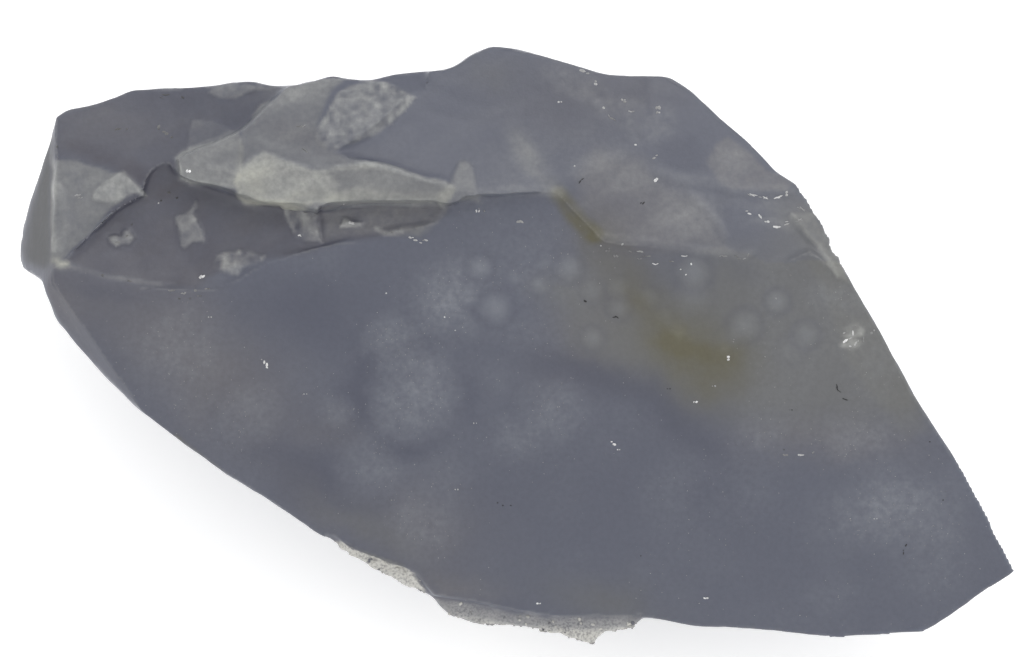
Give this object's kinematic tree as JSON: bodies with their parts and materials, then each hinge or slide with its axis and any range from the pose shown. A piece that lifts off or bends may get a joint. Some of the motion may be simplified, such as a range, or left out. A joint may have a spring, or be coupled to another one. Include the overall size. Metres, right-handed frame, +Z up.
{
  "type": "blue lace agate",
  "caption": "Broken piece of blue-grey chalcedony vein: one smooth face, stepped glassy fractures along one edge and a lumpy pale wall on its back.",
  "frame": {"origin": "centre of the bounding box at its lowest level, on the surface that the stone lies on", "axes": "+X along the long side, from the thick blunt end to the thin pointed end; +Z up; the smooth face looks up and leans 15 degrees towards -Y"},
  "size_m": [0.0902, 0.053, 0.0269],
  "materials": {
    "blue_chalcedony": "satin, milky, slightly translucent"
  },
  "bodies": {
    "root": {"agate": "blue_chalcedony"}
  },
  "joints": []
}
